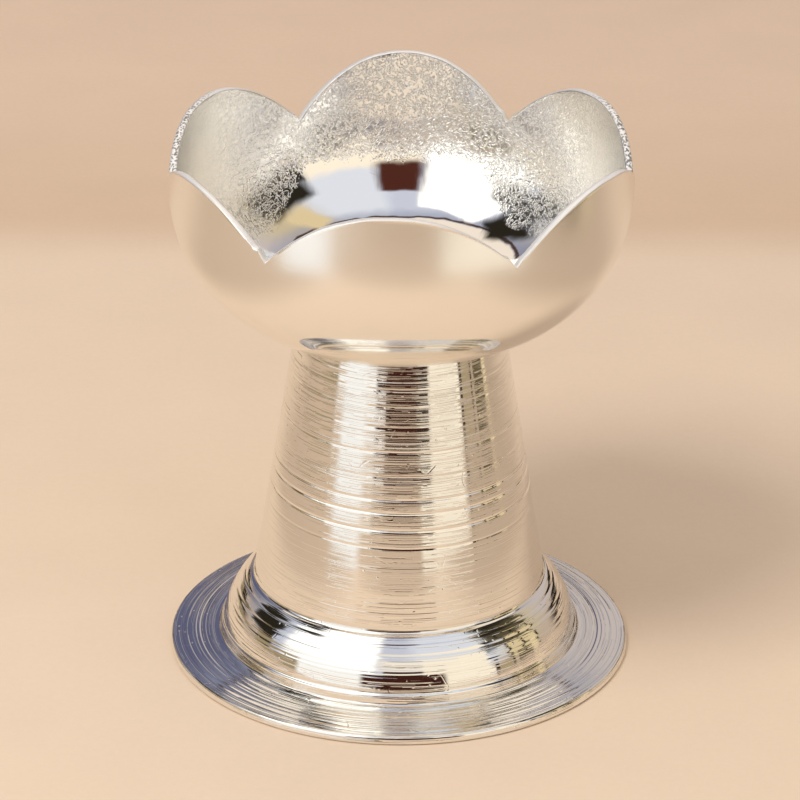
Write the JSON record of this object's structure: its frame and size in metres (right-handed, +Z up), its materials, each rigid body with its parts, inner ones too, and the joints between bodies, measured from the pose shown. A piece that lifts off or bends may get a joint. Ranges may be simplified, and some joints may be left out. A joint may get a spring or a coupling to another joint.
{
  "type": "lotus diya oil lamp",
  "caption": "Small oil lamp: a polished metal bowl with a rim cut into lotus petals, on a turned hollow pedestal with a stepped round foot.",
  "frame": {"origin": "centre of the foot's resting face, on the surface that the lamp stands on", "axes": "+Z up along the turning axis, -Y towards the front, +X to the viewer's right"},
  "size_m": [0.051, 0.051, 0.0603],
  "materials": {
    "turned_silver": "silver finish over a turned casting, bright, with fine rings left by the tool",
    "bowl_silver": "silver finish on sheet, satin outside, finely crinkled inside the petals, polished in the bowl",
    "stud_brass": "plain turned brass, dulled by soldering",
    "zinc_steel": "zinc-plated steel, satin"
  },
  "bodies": {
    "root": {"pedestal": "turned_silver", "petal_bowl": "bowl_silver", "fixing_stud": "stud_brass", "washer": "zinc_steel", "hex_nut": "zinc_steel"}
  },
  "joints": []
}
